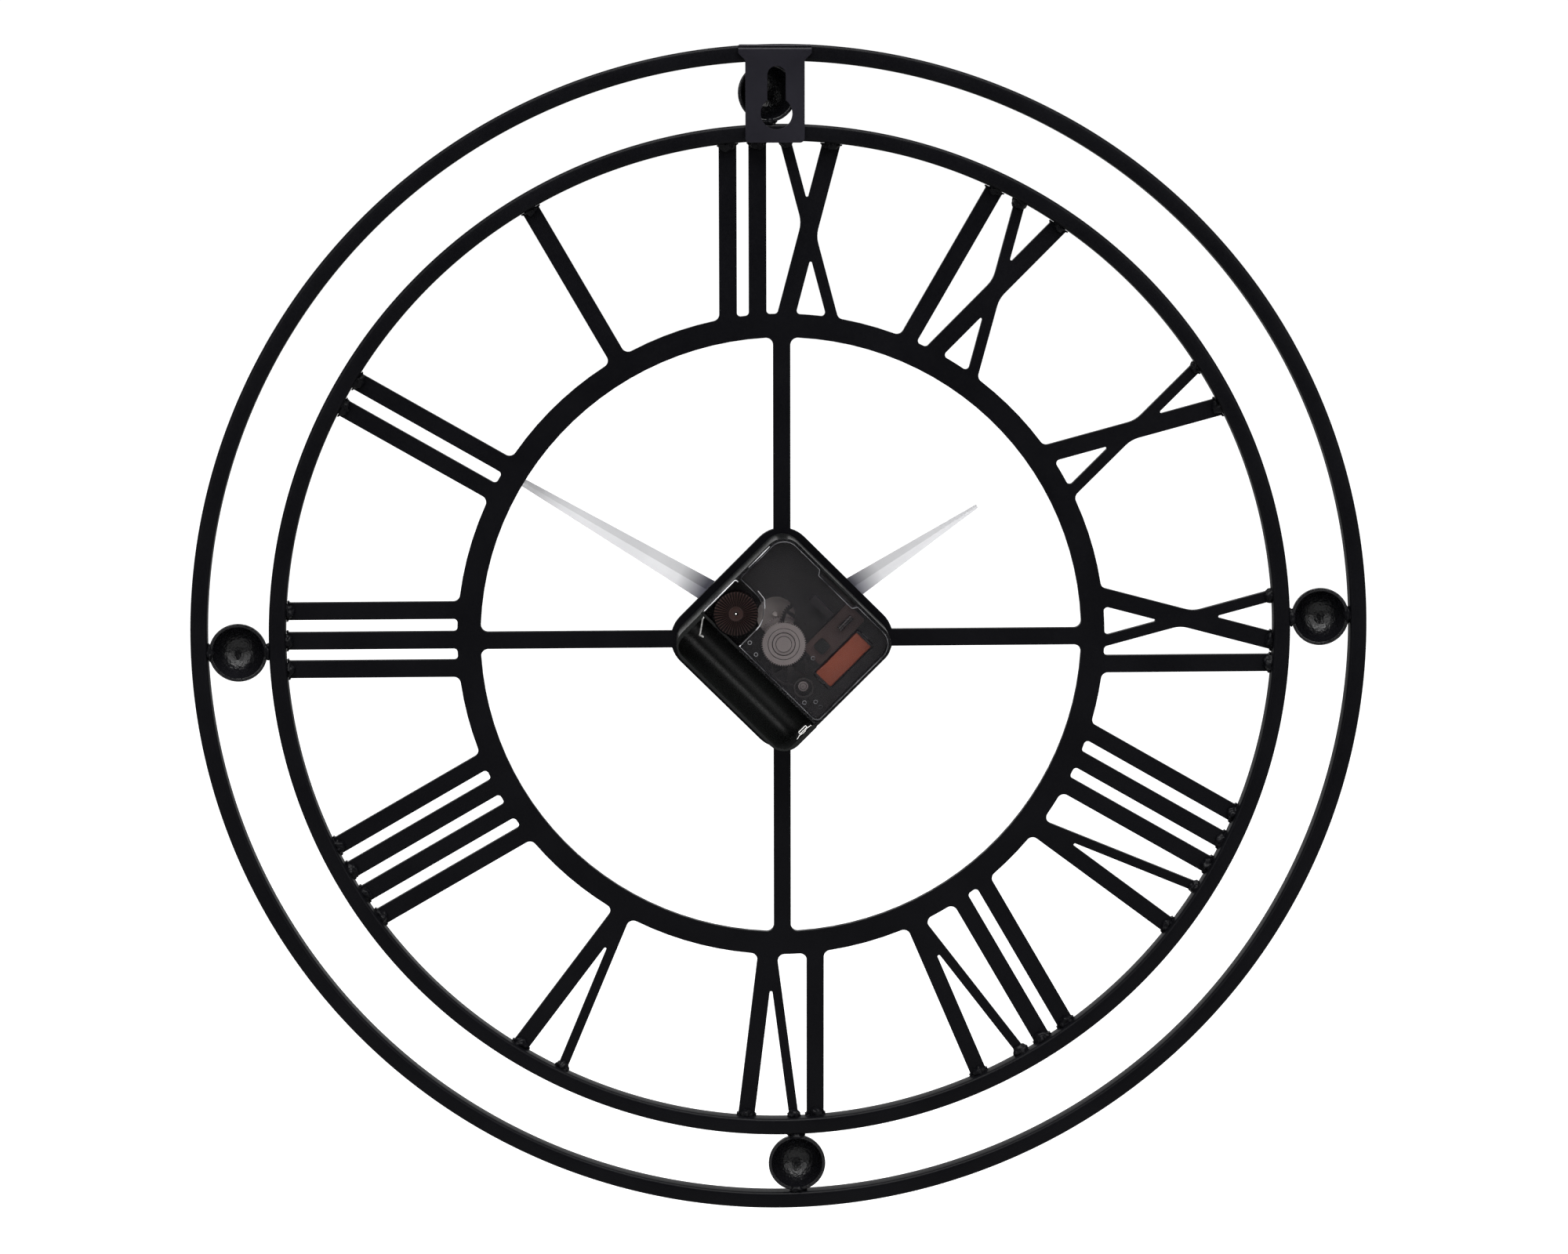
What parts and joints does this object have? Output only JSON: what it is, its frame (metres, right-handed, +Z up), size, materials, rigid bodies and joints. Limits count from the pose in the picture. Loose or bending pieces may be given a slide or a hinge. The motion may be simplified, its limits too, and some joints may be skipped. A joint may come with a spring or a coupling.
{
  "type": "wall clock",
  "caption": "Round skeleton wall clock of black steel: two hoops, half balls between them, cut-out Roman numerals, silver hands and a quartz movement behind the centre plate.",
  "frame": {"origin": "centre of the half circle at the top of the hanger's keyhole slot, on the hanger's rear face, which is where the wall screw's shank sits", "axes": "+Z up, -Y out of the wall towards the viewer, so the dial faces -Y; +X to the right for someone reading the clock"},
  "size_m": [0.406, 0.03, 0.406],
  "materials": {
    "black_steel": "satin black powder coat",
    "weld": "powder coated weld metal",
    "rubber": "matte",
    "case_black": "black moulding, lightly textured",
    "brass": "turned brass",
    "tray_plastic": "dark moulding",
    "smoky_cover": "smoky clear moulding",
    "motor_steel": "stamped steel",
    "enamelled_copper": "enamelled copper wire",
    "board": "copper laminate",
    "chip_black": "epoxy",
    "can_steel": "drawn metal",
    "spring_steel": "nickel plated",
    "magnet": "sintered magnet",
    "wheel_plastic": "pale acetal",
    "minute_brass": "turned brass",
    "knob_plastic": "dark brown moulding",
    "hand_aluminium": "satin silver"
  },
  "bodies": {
    "clock": {"outer_ring": "black_steel", "inner_ring": "black_steel", "dial_plate": "black_steel", "numeral_welds": "weld", "half_ball_top": "black_steel", "half_ball_right": "black_steel", "half_ball_bottom": "black_steel", "half_ball_left": "black_steel", "half_ball_welds": "weld", "hanger_plate": "black_steel", "rubber_washer": "rubber", "movement_case": "case_black", "centre_bush": "brass", "brass_washer": "brass", "mounting_nut": "brass", "train_plate": "tray_plastic", "movement_cover": "smoky_cover", "stator": "motor_steel", "coil_core": "motor_steel", "coil_bobbin": "tray_plastic", "coil_winding": "enamelled_copper", "circuit_board": "board", "chip": "chip_black", "quartz_crystal": "can_steel", "battery_spring": "spring_steel", "battery_contact": "spring_steel"},
    "minute_train": {"minute_tube": "minute_brass", "minute_hand": "hand_aluminium", "minute_collet": "minute_brass", "cap_nut": "minute_brass"},
    "hour_train": {"hour_wheel": "wheel_plastic", "hour_hand": "hand_aluminium", "hour_collet": "minute_brass"},
    "motion_train": {"motion_wheel": "wheel_plastic"},
    "knob": {"setting_knob": "knob_plastic"},
    "seconds_train": {"seconds_wheel": "wheel_plastic"},
    "third_train": {"third_wheel": "wheel_plastic"},
    "centre_train": {"centre_wheel": "wheel_plastic"},
    "intermediate_train": {"intermediate_wheel": "wheel_plastic"},
    "rotor": {"rotor_pinion": "wheel_plastic", "rotor_magnet": "magnet"}
  },
  "joints": [
    {"name": "minute_turn", "type": "hinge", "parent": "clock", "child": "minute_train", "pos_m": [-0.0019, 0, -0.1925], "axis": [0, 1, 0], "continuous": true},
    {"name": "hour_turn", "type": "hinge", "parent": "clock", "child": "hour_train", "pos_m": [-0.0019, 0, -0.1925], "axis": [0, 1, 0], "continuous": true},
    {"name": "motion_turn", "type": "hinge", "parent": "clock", "child": "motion_train", "pos_m": [0.0007, 0, -0.18305], "axis": [0, 1, 0], "continuous": true},
    {"name": "knob_turn", "type": "hinge", "parent": "clock", "child": "knob", "pos_m": [0.01451, 0, -0.18161], "axis": [0, 1, 0], "continuous": true},
    {"name": "seconds_turn", "type": "hinge", "parent": "clock", "child": "seconds_train", "pos_m": [-0.0019, 0, -0.1925], "axis": [0, 1, 0], "continuous": true},
    {"name": "third_turn", "type": "hinge", "parent": "clock", "child": "third_train", "pos_m": [-0.00941, 0, -0.1862], "axis": [0, 1, 0], "continuous": true},
    {"name": "centre_turn", "type": "hinge", "parent": "clock", "child": "centre_train", "pos_m": [-0.0019, 0, -0.1925], "axis": [0, 1, 0], "continuous": true},
    {"name": "intermediate_turn", "type": "hinge", "parent": "clock", "child": "intermediate_train", "pos_m": [-0.00411, 0, -0.20097], "axis": [0, 1, 0], "continuous": true},
    {"name": "rotor_turn", "type": "hinge", "parent": "clock", "child": "rotor", "pos_m": [-0.00865, 0, -0.20746], "axis": [0, 1, 0], "continuous": true}
  ],
  "couplings": [
    {"joint": "hour_turn", "follows": "minute_turn", "ratio": 0.083333},
    {"joint": "motion_turn", "follows": "minute_turn", "ratio": -0.33333},
    {"joint": "knob_turn", "follows": "minute_turn", "ratio": 0.375},
    {"joint": "intermediate_turn", "follows": "rotor_turn", "ratio": -0.2},
    {"joint": "seconds_turn", "follows": "rotor_turn", "ratio": 0.033333},
    {"joint": "third_turn", "follows": "rotor_turn", "ratio": -0.0044444},
    {"joint": "centre_turn", "follows": "rotor_turn", "ratio": 0.00055556}
  ]
}
